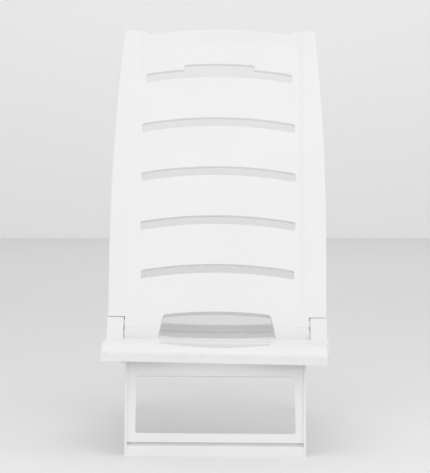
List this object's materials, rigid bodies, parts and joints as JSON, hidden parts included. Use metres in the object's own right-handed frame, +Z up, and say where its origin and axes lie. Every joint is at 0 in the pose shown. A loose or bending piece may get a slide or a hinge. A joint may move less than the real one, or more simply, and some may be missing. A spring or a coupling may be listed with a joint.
{
  "type": "folding lounger",
  "caption": "Low folding lounger of white moulded plastic: a slotted seat, a reclining slotted back and two hinged leg frames.",
  "frame": {"origin": "on the floor, under the middle of the set-up lounger", "axes": "+X to the right of someone facing it, -Y is its front, +Z up"},
  "size_m": [0.4184, 0.6334, 0.7457],
  "materials": {
    "white_plastic": "satin white, fine moulded grain",
    "pin_plastic": "smooth satin white"
  },
  "bodies": {
    "seat": {"seat_panel": "white_plastic", "back_hinge_pin_right": "pin_plastic", "back_hinge_pin_left": "pin_plastic", "back_hinge_cap_right": "pin_plastic", "back_hinge_cap_left": "pin_plastic", "front_leg_hinge_pin_right": "pin_plastic", "front_leg_hinge_pin_left": "pin_plastic", "front_leg_hinge_cap_right": "pin_plastic", "front_leg_hinge_cap_left": "pin_plastic"},
    "back": {"back_panel": "white_plastic", "rear_leg_hinge_pin_right": "pin_plastic", "rear_leg_hinge_pin_left": "pin_plastic", "rear_leg_hinge_cap_right": "pin_plastic", "rear_leg_hinge_cap_left": "pin_plastic"},
    "rear_legs": {"rear_leg_frame": "white_plastic"},
    "front_legs": {"front_leg_frame": "white_plastic"}
  },
  "joints": [
    {"name": "back_hinge", "type": "hinge", "parent": "seat", "child": "back", "pos_m": [0, 0.0462, 0.183], "axis": [1, 0, 0], "range_deg": [-27, 110]},
    {"name": "rear_leg_hinge", "type": "hinge", "parent": "back", "child": "rear_legs", "pos_m": [0, 0.1875, 0.415], "axis": [1, 0, 0], "range_deg": [-27, 15]},
    {"name": "front_leg_hinge", "type": "hinge", "parent": "seat", "child": "front_legs", "pos_m": [0, -0.2638, 0.171], "axis": [1, 0, 0], "range_deg": [0, 90]}
  ]
}
